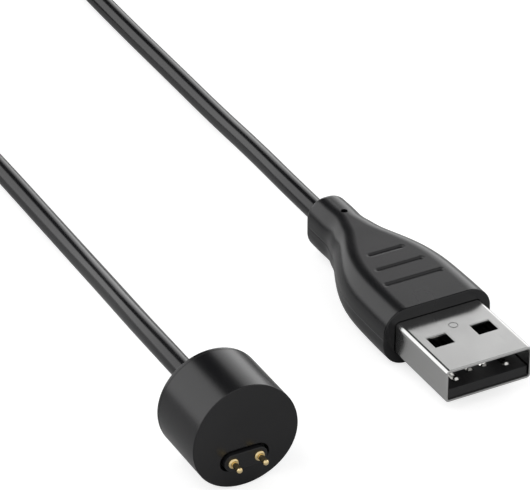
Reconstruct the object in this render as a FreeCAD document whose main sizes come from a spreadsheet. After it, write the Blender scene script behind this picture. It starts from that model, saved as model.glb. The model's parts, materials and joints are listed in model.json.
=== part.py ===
import FreeCAD, Part
import math
import os

import Sketcher
from FreeCAD import Placement, Rotation, Vector

# A magnetic charging cable for a fitness tracker: a round dock with two sprung pins lies on its side,
# a thin round cord leaves its rear, and a moulded USB-A plug is on the cord's other end.
#
# The part's frame: +Z is up, the dock's face looks along -Y, and the origin is on the floor below the
# middle of the dock. The dock and the plug are each drawn standing on their rear face, with local +Z
# towards their front and local +Y up, and their placements lay them down.

# ---------------------------------------------------------------- driving dimensions (millimetres)
DIMENSIONS = {
    # dock, heights measured from its rear face
    "dock_diameter": 13.6,
    "dock_length": 8.9,
    "dock_rear_y": 5.65,
    "face_radius": 51.0,
    "dock_wall": 0.85,
    "front_wall": 1.0,
    "front_edge_radius": 0.12,
    "cap_flange": 0.6,
    "cap_spigot": 0.9,
    "cap_gap": 0.05,
    "cap_edge_radius": 0.25,
    "seam_chamfer": 0.05,
    "recess_edge_radius": 0.1,
    "crimp_diameter": 4.0,
    "crimp_length": 0.6,
    # contact block, whose nose stands up in the middle of a recess in the face
    "pin_drop": 2.95,
    "pin_spacing": 3.4,
    "recess_width": 6.3,
    "recess_height": 2.6,
    "nose_width": 5.6,
    "nose_height": 2.2,
    "nose_rise": 0.5,
    "nose_edge_radius": 0.1,
    "block_width": 6.7,
    "block_height": 3.0,
    "block_rear": 4.7,
    # sprung pins
    "flange_diameter": 1.35,
    "flange_height": 0.3,
    "flange_edge_radius": 0.25,
    "barrel_diameter": 1.1,
    "barrel_rear": 5.0,
    "barrel_bore": 0.94,
    "barrel_floor": 5.2,
    "lip_bore": 0.8,
    "lip_length": 0.35,
    "tail_diameter": 0.5,
    "tail_rear": 3.6,
    "plunger_diameter": 0.74,
    "plunger_dome": 0.34,
    "collar_diameter": 0.86,
    "collar_length": 0.8,
    "plunger_reach": 1.6,
    "plunger_travel": 0.9,
    "spring_wire": 0.13,
    "spring_diameter": 0.76,
    "spring_turns": 8,
    "spring_end": 0.075,
    # magnets, their yoke and the board
    "magnet_diameter": 4.8,
    "magnet_length": 2.5,
    "magnet_offset": 2.9,
    "magnet_rise": 1.2,
    "yoke_width": 10.4,
    "yoke_height": 4.4,
    "yoke_thickness": 0.5,
    "board_diameter": 11.6,
    "board_thickness": 0.5,
    "board_rear": 3.8,
    "board_hole": 0.6,
    "solder_diameter": 1.3,
    "solder_tip_diameter": 0.78,
    "solder_height": 0.4,
    "dock_wire": 0.6,
    "dock_wire_offset": 0.45,
    # cord
    "cord_diameter": 2.8,
    "coil_x": 20.6,
    "coil_y": 147.8,
    "coil_inner_radius": 13.1,
    "coil_outer_radius": 18.9,
    "coil_height": 5.8,
    "coil_edge_radius": 1.3,
    "tie_thickness": 0.5,
    "tie_width": 5.0,
    # plug, heights measured from the rear of its overmould
    "plug_x": 33.7,
    "plug_rear_y": 38.2,
    "plug_axis": 3.9,
    "plug_length": 40.2,
    "overmould_length": 28.2,
    "cord_grip": 5.8,
    "shell_width": 12.0,
    "shell_height": 4.5,
    "shell_sheet": 0.32,
    "shell_edge_radius": 0.6,
    "shell_rear": 21.7,
    "shell_press": 0.08,
    "shell_front_radius": 0.12,
    "window_width": 2.75,
    "window_length": 2.3,
    "window_offset": 3.05,
    "window_setback": 5.14,
    "window_edge_radius": 0.1,
    "inner_mould_width": 11.0,
    "inner_mould_neck_width": 4.4,
    "inner_mould_neck_height": 4.0,
    "inner_mould_height": 4.8,
    "inner_mould_straight": 4.0,
    "carrier_base_length": 6.5,
    "carrier_setback": 0.3,
    "carrier_gap": 0.05,
    "carrier_side_gap": 0.15,
    "tongue_thickness": 1.3,
    "contact_width": 1.0,
    "contact_height": 0.45,
    "contact_depth": 0.15,
    "contact_nose_radius": 0.4,
    "contact_nose_slope": 0.24,
    "contact_rear": 19.8,
    "outer_contact_offset": 3.5,
    "inner_contact_offset": 1.0,
    "outer_contact_setback": 1.5,
    "inner_contact_setback": 2.5,
    "plug_solder_diameter": 1.1,
    "plug_solder_length": 0.6,
    "plug_wire": 0.9,
    "plug_wire_offset": 0.65,
    "pit_diameter": 0.9,
    "pit_depth": 0.8,
    "pit_height": 4.5,
    "pit_offset": 0.15,
}

# The overmould's cross-sections from its rear to its front: height above the rear face, half width,
# half thickness, corner radius and how far its middle stands above the plug's axis.
OVERMOULD_SECTIONS = [
    (0.0, 2.60, 3.35, 2.35, 0.20),
    (0.6, 2.91, 3.65, 2.65, 0.20),
    (3.5, 2.93, 3.68, 2.68, 0.20),
    (5.8, 3.03, 3.70, 2.80, 0.19),
    (7.3, 3.43, 3.72, 2.85, 0.16),
    (8.8, 3.87, 3.75, 2.95, 0.13),
    (10.8, 4.75, 3.78, 3.05, 0.09),
    (13.8, 6.03, 3.82, 3.05, 0.05),
    (17.8, 7.10, 3.86, 3.10, 0.02),
    (22.3, 7.44, 3.88, 3.10, 0.0),
    (25.8, 7.50, 3.89, 3.10, 0.0),
    (28.2, 7.50, 3.89, 3.10, 0.0),
]

# The cord's route outside the dock and the plug, chosen by hand. It leaves the dock level, sinks to the
# floor, runs on to the coil's left side, and comes back from the coil's right side to the plug.
DOCK_ROUTE = [
    (0.0, 4.15, 6.80),
    (0.0, 14.8, 6.80),
    (0.7, 25.8, 5.70),
    (2.0, 36.8, 3.90),
    (3.1, 47.8, 2.30),
    (3.7, 59.8, 1.52),
    (3.9, 76.8, 1.40),
    (3.6, 98.8, 1.40),
    (3.0, 122.8, 1.40),
    (3.3, 143.8, 1.40),
]
PLUG_ROUTE = [
    (33.7, 32.4, 4.10),
    (33.7, 45.4, 4.10),
    (34.9, 59.8, 3.00),
    (35.8, 72.8, 1.75),
    (36.3, 86.8, 1.42),
    (36.5, 102.8, 1.40),
    (36.7, 118.8, 1.75),
    (36.75, 131.8, 3.60),
    (36.6, 143.8, 4.30),
]
# The share of the run between cord and contact that a plug conductor goes straight at each end.
WIRE_STRAIGHT_SHARE = 0.28


SECTION_WORDS = ("level", "half_width", "half_height", "corner", "rise")


def build_sheet():
    """Write the driving dimensions into a spreadsheet, one named cell each."""
    cells = doc.addObject("Spreadsheet::Sheet", "dims")
    rows = dict(DIMENSIONS)
    for index, section in enumerate(OVERMOULD_SECTIONS):
        for word, value in zip(SECTION_WORDS, section):
            rows["section_%s_%s" % (word, chr(ord("a") + index))] = value
    for row, (name, value) in enumerate(rows.items(), start=1):
        cells.set("A%d" % row, name)
        cells.set("B%d" % row, str(value))
        cells.setAlias("B%d" % row, name)
    doc.recompute()
    return cells


def size(name):
    """A driving dimension's value."""
    return float(sheet.get(name))


# ---------------------------------------------------------------- helpers for bodies and sketches
def new_body(label):
    body = doc.addObject("PartDesign::Body", label)
    body.Label = label
    return body


def origin_plane(body, role):
    return next(plane for plane in body.Origin.OriginFeatures if plane.Role == role)


def new_sketch(body, name, level="0", role="XY_Plane"):
    """A sketch on one of the body's own planes, lifted to a level given as an expression."""
    sketch = body.newObject("Sketcher::SketchObject", name)
    sketch.AttachmentSupport = [(origin_plane(body, role), "")]
    sketch.MapMode = "FlatFace"
    sketch.setExpression("AttachmentOffset.Base.z", level)
    doc.recompute()
    return sketch


def value_of(expression):
    """The value of an expression in the sheet's names, for a sketch's starting geometry."""
    return float(sheet.evalExpression(expression.replace("dims.", "")))


def bind(sketch, constraint_index, expression):
    sketch.setExpression("Constraints[%d]" % constraint_index, expression)


def place_point(sketch, geometry, point, x, y):
    """Tie one vertex of a sketch to the position (x, y), each given as an expression."""
    for kind, expression, axis in (("DistanceX", x, -2), ("DistanceY", y, -1)):
        value = value_of(expression)
        if abs(value) < 1e-9:
            sketch.addConstraint(Sketcher.Constraint("PointOnObject", geometry, point, axis))
        else:
            index = sketch.addConstraint(Sketcher.Constraint(kind, -1, 1, geometry, point, value))
            bind(sketch, index, expression)


def draw_circle(sketch, diameter, x="0", y="0"):
    centre = Vector(value_of(x), value_of(y), 0)
    radius = value_of(diameter) / 2
    index = sketch.addGeometry(Part.Circle(centre, Vector(0, 0, 1), radius))
    place_point(sketch, index, 3, x, y)
    bind(sketch, sketch.addConstraint(Sketcher.Constraint("Diameter", index, 2 * radius)), diameter)


def draw_outline(sketch, corners):
    """A closed outline of straight lines through corners given as pairs of expressions."""
    points = [Vector(value_of(x), value_of(y), 0) for x, y in corners]
    count = len(points)
    first = sketch.GeometryCount
    for index in range(count):
        sketch.addGeometry(Part.LineSegment(points[index], points[(index + 1) % count]))
    for index in range(count):
        following = first + (index + 1) % count
        sketch.addConstraint(Sketcher.Constraint("Coincident", first + index, 2, following, 1))
    for index, (x, y) in enumerate(corners):
        place_point(sketch, first + index, 1, x, y)


def draw_rectangle(sketch, width, height, x="0", y="0"):
    left, right = "%s - (%s) / 2" % (x, width), "%s + (%s) / 2" % (x, width)
    low, high = "%s - (%s) / 2" % (y, height), "%s + (%s) / 2" % (y, height)
    draw_outline(sketch, [(left, low), (right, low), (right, high), (left, high)])


def draw_slot(sketch, width, height, y="0"):
    """An oblong with round ends, centred on the sketch's upright axis at height y."""
    radius = value_of(height) / 2
    reach = value_of(width) / 2 - radius
    middle = value_of(y)
    right = sketch.addGeometry(Part.ArcOfCircle(
        Part.Circle(Vector(reach, middle, 0), Vector(0, 0, 1), radius), -math.pi / 2, math.pi / 2))
    left = sketch.addGeometry(Part.ArcOfCircle(
        Part.Circle(Vector(-reach, middle, 0), Vector(0, 0, 1), radius), math.pi / 2, 1.5 * math.pi))
    top = sketch.addGeometry(Part.LineSegment(
        Vector(reach, middle + radius, 0), Vector(-reach, middle + radius, 0)))
    bottom = sketch.addGeometry(Part.LineSegment(
        Vector(-reach, middle - radius, 0), Vector(reach, middle - radius, 0)))
    for one, one_end, other, other_end in ((right, 2, top, 1), (top, 2, left, 1),
                                           (left, 2, bottom, 1), (bottom, 2, right, 1)):
        sketch.addConstraint(Sketcher.Constraint("Tangent", one, one_end, other, other_end))
    bind(sketch, sketch.addConstraint(Sketcher.Constraint("Radius", right, radius)), "(%s) / 2" % height)
    half_run = "((%s) - (%s)) / 2" % (width, height)
    place_point(sketch, right, 3, half_run, y)
    place_point(sketch, left, 3, "-" + half_run, y)


def draw_rounded_rectangle(sketch, half_width, half_height, corner):
    """A rounded rectangle about the sketch's origin: four arcs joined by four tangent lines."""
    wide, high, radius = value_of(half_width), value_of(half_height), value_of(corner)
    arcs = []
    for turn, (across, up) in enumerate(((1, 1), (-1, 1), (-1, -1), (1, -1))):
        centre = Vector(across * (wide - radius), up * (high - radius), 0)
        start = turn * math.pi / 2
        circle = Part.Circle(centre, Vector(0, 0, 1), radius)
        arcs.append(sketch.addGeometry(Part.ArcOfCircle(circle, start, start + math.pi / 2)))
    for turn in range(4):
        one, other = arcs[turn], arcs[(turn + 1) % 4]
        line = Part.LineSegment(sketch.getPoint(one, 2), sketch.getPoint(other, 1))
        side = sketch.addGeometry(line)
        sketch.addConstraint(Sketcher.Constraint("Tangent", one, 2, side, 1))
        sketch.addConstraint(Sketcher.Constraint("Tangent", side, 2, other, 1))
    for turn, (across, up) in enumerate(((1, 1), (-1, 1), (-1, -1), (1, -1))):
        run = "((%s) - (%s))" % (half_width, corner)
        rise = "((%s) - (%s))" % (half_height, corner)
        place_point(sketch, arcs[turn], 3, run if across > 0 else "-" + run, rise if up > 0 else "-" + rise)
    index = sketch.addConstraint(Sketcher.Constraint("Radius", arcs[0], radius))
    bind(sketch, index, corner)


def pad(body, sketch, length, name):
    feature = body.newObject("PartDesign::Pad", name)
    feature.Profile = sketch
    feature.setExpression("Length", length)
    doc.recompute()
    return feature


def cut_volume(body, feature, least):
    """Check that a cutting feature took away at least the given volume."""
    doc.recompute()
    before = feature.BaseFeature.Shape.Volume
    if before - feature.Shape.Volume < least:
        raise RuntimeError("%s in %s cuts nothing" % (feature.Name, body.Label))
    return feature


def pocket(body, sketch, length, name, down=True, least=0.01):
    """A pocket that goes down from its sketch (local -Z), or up where down is False."""
    feature = body.newObject("PartDesign::Pocket", name)
    feature.Profile = sketch
    feature.Reversed = not down
    feature.setExpression("Length", length)
    return cut_volume(body, feature, least)


def revolve(body, sketch, name):
    """A full turn about the local Z axis of a profile drawn in the XZ plane."""
    feature = body.newObject("PartDesign::Revolution", name)
    feature.Profile = sketch
    feature.ReferenceAxis = (sketch, ["V_Axis"])
    feature.Angle = 360
    doc.recompute()
    return feature


def picked_edges(base, picks):
    """The names of the edges of a feature that a test accepts."""
    names = ["Edge%d" % (index + 1) for index, edge in enumerate(base.Shape.Edges) if picks(edge)]
    if not names:
        raise RuntimeError("no edge of %s is picked" % base.Name)
    return names


def round_edges(body, base, picks, radius, name):
    feature = body.newObject("PartDesign::Fillet", name)
    feature.Base = (base, picked_edges(base, picks))
    feature.setExpression("Radius", radius)
    doc.recompute()
    return feature


def slope_edges(body, base, picks, side, name):
    feature = body.newObject("PartDesign::Chamfer", name)
    feature.Base = (base, picked_edges(base, picks))
    feature.setExpression("Size", side)
    doc.recompute()
    return feature


def turned_body(label, outline):
    """A body turned from an outline of (radius, height) expression pairs."""
    body = new_body(label)
    sketch = new_sketch(body, label + "_profile", role="XZ_Plane")
    draw_outline(sketch, outline)
    revolve(body, sketch, label + "_turn")
    return body


def lay_down(thing, x, rear_y, axis_z):
    """Lay a piece drawn standing on its rear face so that its front looks along -Y."""
    thing.Placement = Placement(Vector(x, rear_y, axis_z), Rotation(Vector(1, 0, 0), 90))


def dock_placed(thing, across=0.0, up=0.0):
    lay_down(thing, across, size("dock_rear_y"), size("dock_diameter") / 2 + up)
    return thing


def plug_placed(thing, across=0.0, up=0.0):
    lay_down(thing, size("plug_x") + across, size("plug_rear_y"), size("plug_axis") + up)
    return thing


# ---------------------------------------------------------------- tubes along a route
def tube(points, diameter, report_name=None):
    """A round tube along straight runs joined by tangent arcs that are as large as the runs allow."""
    corners = [Vector(*point) for point in points]
    runs = [(b - a).Length for a, b in zip(corners, corners[1:])]
    edges = []
    radii = []
    start = corners[0]
    for index in range(1, len(corners) - 1):
        into = (corners[index] - corners[index - 1]).normalize()
        away = (corners[index + 1] - corners[index]).normalize()
        half_turn = into.getAngle(away) / 2
        reach = 0.45 * min(runs[index - 1], runs[index])
        radii.append(reach / math.tan(half_turn))
        arc_start = corners[index] - into * reach
        arc_end = corners[index] + away * reach
        towards_centre = (away - into).normalize()
        centre = corners[index] + towards_centre * (radii[-1] / math.cos(half_turn))
        middle = centre - towards_centre * radii[-1]
        edges.append(Part.LineSegment(start, arc_start).toShape())
        edges.append(Part.Arc(arc_start, middle, arc_end).toShape())
        start = arc_end
    edges.append(Part.LineSegment(start, corners[-1]).toShape())
    path = Part.Wire(edges)
    direction = corners[1] - corners[0]
    ring = Part.Wire([Part.makeCircle(diameter / 2, corners[0], direction)])
    solid = path.makePipeShell([ring], True, True)
    expected = math.pi * diameter ** 2 / 4 * path.Length
    if abs(solid.Volume - expected) > 0.01 * expected:
        raise RuntimeError("a tube's volume is %.2f, not %.2f" % (solid.Volume, expected))
    if report_name:
        shown = ", ".join("%.0f" % radius for radius in radii)
        print("%s: length %.1f, arc radii %s" % (report_name, path.Length, shown))
    return solid


def tube_feature(label, points, diameter, report_name=None):
    feature = doc.addObject("Part::Feature", label)
    feature.Label = label
    feature.Shape = tube(points, diameter, report_name)
    return feature


def cut(label, base, tool):
    feature = doc.addObject("Part::Cut", label)
    feature.Label = label
    feature.Base = base
    feature.Tool = tool
    doc.recompute()
    return feature


def fuse(label, shapes):
    feature = doc.addObject("Part::MultiFuse", label)
    feature.Shapes = shapes
    doc.recompute()
    return feature


def cylinder(name, diameter, height, x="0", y="0", level="0"):
    """A Part cylinder along local Z, with every size and place an expression."""
    shape = doc.addObject("Part::Cylinder", name)
    shape.setExpression("Radius", "(%s) / 2" % diameter)
    shape.setExpression("Height", height)
    shape.setExpression("Placement.Base.x", x)
    shape.setExpression("Placement.Base.y", y)
    shape.setExpression("Placement.Base.z", level)
    return shape


# ---------------------------------------------------------------- dock
def dock_housing():
    body = new_body("dock_housing")
    wall = new_sketch(body, "housing_circle", "dims.cap_flange")
    draw_circle(wall, "dims.dock_diameter")
    # The rim's two sides stand out past the middle of the hollow face by the arc's rise.
    rise = "(dims.face_radius - sqrt(dims.face_radius ^ 2 - dims.dock_diameter ^ 2 / 4))"
    pad(body, wall, "dims.dock_length - dims.cap_flange + %s" % rise, "housing_pad")
    hollow = new_sketch(body, "face_arc", role="XZ_Plane")
    draw_circle(hollow, "2 * dims.face_radius", "0", "dims.dock_length + dims.face_radius")
    groove = body.newObject("PartDesign::Pocket", "hollow_face")
    groove.Profile = hollow
    groove.Midplane = True
    groove.setExpression("Length", "2 * dims.dock_diameter")
    cut_volume(body, groove, 10)
    face_level = size("dock_length") - 0.1
    round_edges(body, groove, lambda edge: edge.BoundBox.ZMin > face_level,
                "dims.front_edge_radius", "rim_round")
    cavity = new_sketch(body, "cavity_circle", "dims.dock_length - dims.front_wall")
    draw_circle(cavity, "dims.dock_diameter - 2 * dims.dock_wall")
    pocket(body, cavity, "dims.dock_length", "cavity", least=500)
    recess = new_sketch(body, "recess_slot", "dims.dock_length + 1")
    draw_slot(recess, "dims.recess_width", "dims.recess_height", "-dims.pin_drop")
    opening = pocket(body, recess, "dims.front_wall + 2", "recess", least=10)
    reach = size("recess_width") / 2 + 0.01
    softened = round_edges(body, opening, lambda edge: edge.BoundBox.ZMin > face_level
                           and edge.BoundBox.XMax < reach and edge.BoundBox.YMax < 0,
                           "dims.recess_edge_radius", "recess_round")
    outside = size("dock_diameter") - 0.01
    seam_level = size("cap_flange") + 0.01
    slope_edges(body, softened, lambda edge: edge.BoundBox.ZMax < seam_level
                and edge.BoundBox.XLength > outside, "dims.seam_chamfer", "seam_chamfer")
    return dock_placed(body)


def dock_rear_cap():
    rim = "dims.dock_diameter / 2"
    spigot = "dims.dock_diameter / 2 - dims.dock_wall - dims.cap_gap"
    bore = "dims.cord_diameter / 2"
    counterbore = "dims.crimp_diameter / 2"
    top = "dims.cap_flange + dims.cap_spigot"
    step = "dims.cap_flange + dims.cap_spigot - dims.crimp_length"
    body = turned_body("dock_rear_cap", [
        (bore, "0"), (rim, "0"), (rim, "dims.cap_flange - dims.seam_chamfer"),
        (rim + " - dims.seam_chamfer", "dims.cap_flange"), (spigot, "dims.cap_flange"),
        (spigot, top), (counterbore, top), (counterbore, step), (bore, step)])
    outside = size("dock_diameter") - 0.01
    round_edges(body, body.Tip, lambda edge: edge.BoundBox.ZMax < 0.01 and edge.BoundBox.XLength > outside,
                "dims.cap_edge_radius", "cap_round")
    return dock_placed(body)


def dock_cord_crimp():
    outer, bore = "dims.crimp_diameter / 2", "dims.cord_diameter / 2"
    top = "dims.cap_flange + dims.cap_spigot"
    low = top + " - dims.crimp_length"
    body = turned_body("dock_cord_crimp", [(bore, low), (outer, low), (outer, top), (bore, top)])
    return dock_placed(body)


# The height of the contact block's nose above the dock's rear face, on which the barrels' flanges sit.
NOSE_LEVEL = "dims.dock_length + dims.nose_rise"
BARREL_FRONT = NOSE_LEVEL + " + dims.flange_height"


def contact_block():
    body = new_body("contact_block")
    flange = new_sketch(body, "block_slot", "dims.block_rear")
    draw_slot(flange, "dims.block_width", "dims.block_height", "-dims.pin_drop")
    shoulder = "dims.dock_length - dims.front_wall"
    pad(body, flange, shoulder + " - dims.block_rear", "block_pad")
    nose = new_sketch(body, "nose_slot", shoulder)
    draw_slot(nose, "dims.nose_width", "dims.nose_height", "-dims.pin_drop")
    block = pad(body, nose, "dims.front_wall + dims.nose_rise", "nose_pad")
    top = value_of(NOSE_LEVEL) - 0.01
    round_edges(body, block, lambda edge: edge.BoundBox.ZMin > top, "dims.nose_edge_radius", "nose_round")
    holes = new_sketch(body, "barrel_holes", NOSE_LEVEL)
    for side in ("-", ""):
        draw_circle(holes, "dims.barrel_diameter", side + "dims.pin_spacing / 2", "-dims.pin_drop")
    pocket(body, holes, "dims.dock_length", "barrel_bores", least=1)
    return dock_placed(body)


def pin_barrel(label, side):
    front = BARREL_FRONT
    flange, outside = "dims.flange_diameter / 2", "dims.barrel_diameter / 2"
    bore, lip = "dims.barrel_bore / 2", "dims.lip_bore / 2"
    tail = "dims.tail_diameter / 2"
    body = turned_body(label, [
        ("0", "dims.tail_rear"), (tail, "dims.tail_rear"), (tail, "dims.barrel_rear"),
        (outside, "dims.barrel_rear"), (outside, NOSE_LEVEL), (flange, NOSE_LEVEL), (flange, front),
        (lip, front), (lip, front + " - dims.lip_length"), (bore, front + " - dims.lip_length"),
        (bore, "dims.barrel_floor"), ("0", "dims.barrel_floor")])
    height, least = value_of(front) - 0.01, size("flange_diameter") - 0.01
    round_edges(body, body.Tip, lambda edge: edge.BoundBox.ZMin > height and edge.BoundBox.XLength > least,
                "dims.flange_edge_radius", label + "_flange_round")
    return dock_placed(body, side * size("pin_spacing") / 2, -size("pin_drop"))


def pin_plunger(label, side):
    """A plunger: its collar stays behind the barrel's lip, and its tip is a dome."""
    collar_top = BARREL_FRONT + " - dims.lip_length"
    tip = BARREL_FRONT + " + dims.plunger_reach"
    rod, collar = "dims.plunger_diameter / 2", "dims.collar_diameter / 2"
    body = turned_body(label, [
        ("0", collar_top + " - dims.collar_length"), (collar, collar_top + " - dims.collar_length"),
        (collar, collar_top), (rod, collar_top), (rod, tip), ("0", tip)])
    height = value_of(tip) - 0.01
    round_edges(body, body.Tip, lambda edge: edge.BoundBox.ZMin > height and len(edge.Vertexes) == 1,
                "dims.plunger_dome", label + "_dome_round")
    return dock_placed(body, side * size("pin_spacing") / 2, -size("pin_drop"))


def pin_spring(label, side):
    """A coil spring between the barrel's floor and the plunger's collar."""
    length = BARREL_FRONT + " - dims.lip_length - dims.collar_length - dims.barrel_floor"
    coil_radius = "(dims.spring_diameter - dims.spring_wire) / 2"
    helix = doc.addObject("Part::Helix", label + "_helix")
    helix.setExpression("Radius", coil_radius)
    helix.setExpression("Height", "%s - 2 * dims.spring_end" % length)
    helix.setExpression("Pitch", "(%s - 2 * dims.spring_end) / dims.spring_turns" % length)
    wire = doc.addObject("Part::Circle", label + "_wire")
    wire.setExpression("Radius", "dims.spring_wire / 2")
    wire.setExpression("Placement.Base.x", coil_radius)
    wire.Placement.Rotation = Rotation(Vector(1, 0, 0), 90)
    doc.recompute()
    sweep = doc.addObject("Part::Sweep", label)
    sweep.Label = label
    sweep.Sections = [wire]
    sweep.Spine = (helix, [])
    sweep.Solid = True
    sweep.Frenet = True
    doc.recompute()
    lay_down(sweep, side * size("pin_spacing") / 2,
             size("dock_rear_y") - size("barrel_floor") - size("spring_end"),
             size("dock_diameter") / 2 - size("pin_drop"))
    return sweep


def magnet(label, side):
    body = new_body(label)
    disc = new_sketch(body, label + "_circle", "dims.dock_length - dims.front_wall - dims.magnet_length")
    draw_circle(disc, "dims.magnet_diameter")
    pad(body, disc, "dims.magnet_length", label + "_pad")
    return dock_placed(body, side * size("magnet_offset"), size("magnet_rise"))


def magnet_yoke():
    body = new_body("magnet_yoke")
    front = "dims.dock_length - dims.front_wall - dims.magnet_length"
    plate = new_sketch(body, "yoke_slot", front + " - dims.yoke_thickness")
    draw_slot(plate, "dims.yoke_width", "dims.yoke_height", "dims.magnet_rise")
    pad(body, plate, "dims.yoke_thickness", "yoke_pad")
    return dock_placed(body)


def dock_circuit_board():
    body = new_body("dock_circuit_board")
    disc = new_sketch(body, "board_circle", "dims.board_rear")
    draw_circle(disc, "dims.board_diameter")
    pad(body, disc, "dims.board_thickness", "board_pad")
    holes = new_sketch(body, "board_holes", "dims.board_rear + dims.board_thickness")
    for side in ("-", ""):
        draw_circle(holes, "dims.board_hole", side + "dims.pin_spacing / 2", "-dims.pin_drop")
    pocket(body, holes, "dims.board_thickness", "board_bores", least=0.2)
    return dock_placed(body)


def dock_solder_joints():
    """Two cones of solder round the barrels' tails on the board's rear face, as one group."""
    joints = []
    for word, side in (("left", "-"), ("right", "")):
        cone = doc.addObject("Part::Cone", "solder_cone_" + word)
        cone.setExpression("Radius1", "dims.solder_tip_diameter / 2")
        cone.setExpression("Radius2", "dims.solder_diameter / 2")
        cone.setExpression("Height", "dims.solder_height")
        cone.setExpression("Placement.Base.x", side + "dims.pin_spacing / 2")
        cone.setExpression("Placement.Base.y", "-dims.pin_drop")
        cone.setExpression("Placement.Base.z", "dims.board_rear - dims.solder_height")
        tail = cylinder("tail_room_" + word, "dims.tail_diameter", "dims.solder_height",
                        side + "dims.pin_spacing / 2", "-dims.pin_drop", "dims.tail_rear")
        joints.append(cut("solder_joint_" + word, cone, tail))
    group = doc.addObject("Part::Compound", "dock_solder_joints")
    group.Label = "dock_solder_joints"
    group.Links = joints
    doc.recompute()
    return dock_placed(group)


def dock_wire(label, side):
    """A conductor from its solder joint up to the cord's end in the middle of the cap."""
    joint = size("board_rear") - size("solder_height")
    cord_end = size("cap_flange") + size("cap_spigot")
    middle = (joint + cord_end) / 2
    pin = side * size("pin_spacing") / 2
    centre = side * size("dock_wire_offset")
    route = [(pin, -size("pin_drop"), joint), (pin, -size("pin_drop"), middle),
             (centre, 0.0, middle), (centre, 0.0, cord_end)]
    return dock_placed(tube_feature(label, route, size("dock_wire")))


# ---------------------------------------------------------------- cord
def coil_ring():
    """The closed outer shape of the put-away coil, a flat ring lying on the floor."""
    body = new_body("coil_ring")
    section = new_sketch(body, "coil_section", role="XZ_Plane")
    draw_outline(section, [("dims.coil_inner_radius", "0"), ("dims.coil_outer_radius", "0"),
                           ("dims.coil_outer_radius", "dims.coil_height"),
                           ("dims.coil_inner_radius", "dims.coil_height")])
    turned = revolve(body, section, "coil_turn")
    round_edges(body, turned, lambda edge: len(edge.Vertexes) == 1 and edge.Length > 20,
                "dims.coil_edge_radius", "coil_round")
    body.Placement = Placement(Vector(size("coil_x"), size("coil_y"), 0), Rotation())
    return body


def coil_tie():
    """A flat band round the coil at its far side, with its lowest layer on the floor."""
    body = new_body("coil_tie")
    section = new_sketch(body, "tie_section", "-dims.tie_width / 2", role="YZ_Plane")
    draw_outline(section, [("dims.coil_inner_radius - dims.tie_thickness", "0"),
                           ("dims.coil_outer_radius + dims.tie_thickness", "0"),
                           ("dims.coil_outer_radius + dims.tie_thickness",
                            "dims.coil_height + dims.tie_thickness"),
                           ("dims.coil_inner_radius - dims.tie_thickness",
                            "dims.coil_height + dims.tie_thickness")])
    pad(body, section, "dims.tie_width", "tie_pad")
    hole = new_sketch(body, "tie_hole", "-dims.tie_width", role="YZ_Plane")
    draw_outline(hole, [("dims.coil_inner_radius", "dims.tie_thickness"),
                        ("dims.coil_outer_radius", "dims.tie_thickness"),
                        ("dims.coil_outer_radius", "dims.coil_height"),
                        ("dims.coil_inner_radius", "dims.coil_height")])
    pocket(body, hole, "2 * dims.tie_width", "tie_opening", down=False, least=20)
    body.Placement = Placement(Vector(size("coil_x"), size("coil_y"), 0), Rotation())
    return body


# ---------------------------------------------------------------- plug
def overmould_blank():
    """The grip's outside: one smooth loft from the round neck to the wide front."""
    body = new_body("overmould_blank")
    sketches = []
    for index in range(len(OVERMOULD_SECTIONS)):
        letter = chr(ord("a") + index)
        sketch = new_sketch(body, "section_" + letter, "dims.section_level_" + letter)
        sketch.setExpression("AttachmentOffset.Base.y", "dims.section_rise_" + letter)
        draw_rounded_rectangle(sketch, "dims.section_half_width_" + letter,
                               "dims.section_half_height_" + letter, "dims.section_corner_" + letter)
        sketches.append(sketch)
    doc.recompute()
    loft = body.newObject("PartDesign::AdditiveLoft", "grip_loft")
    loft.Profile = sketches[0]
    loft.Sections = sketches[1:]
    doc.recompute()
    bore = new_sketch(body, "cord_bore_circle", "dims.cord_grip")
    draw_circle(bore, "dims.cord_diameter", "0", "dims.section_rise_a")
    pocket(body, bore, "dims.cord_grip", "cord_bore", least=30)
    pit = new_sketch(body, "pit_circle", "dims.pit_depth - dims.section_half_height_b - dims.section_rise_b",
                     role="XZ_Plane")
    draw_circle(pit, "dims.pit_diameter", "dims.pit_offset", "dims.pit_height")
    pocket(body, pit, "3 * dims.pit_depth", "pit", least=0.2)
    return plug_placed(body)


def shell_blank(label):
    """The shell's outside as a solid: the stretch inside the grip is pressed a little smaller."""
    body = new_body(label)
    buried = new_sketch(body, label + "_buried", "dims.shell_rear")
    draw_rounded_rectangle(buried, "dims.shell_width / 2 - dims.shell_press",
                           "dims.shell_height / 2 - dims.shell_press",
                           "dims.shell_edge_radius - dims.shell_press")
    pad(body, buried, "dims.overmould_length - dims.shell_rear", label + "_buried_pad")
    outside = new_sketch(body, label + "_outside", "dims.overmould_length")
    draw_rounded_rectangle(outside, "dims.shell_width / 2", "dims.shell_height / 2",
                           "dims.shell_edge_radius")
    pad(body, outside, "dims.plug_length - dims.overmould_length", label + "_pad")
    return body


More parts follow.
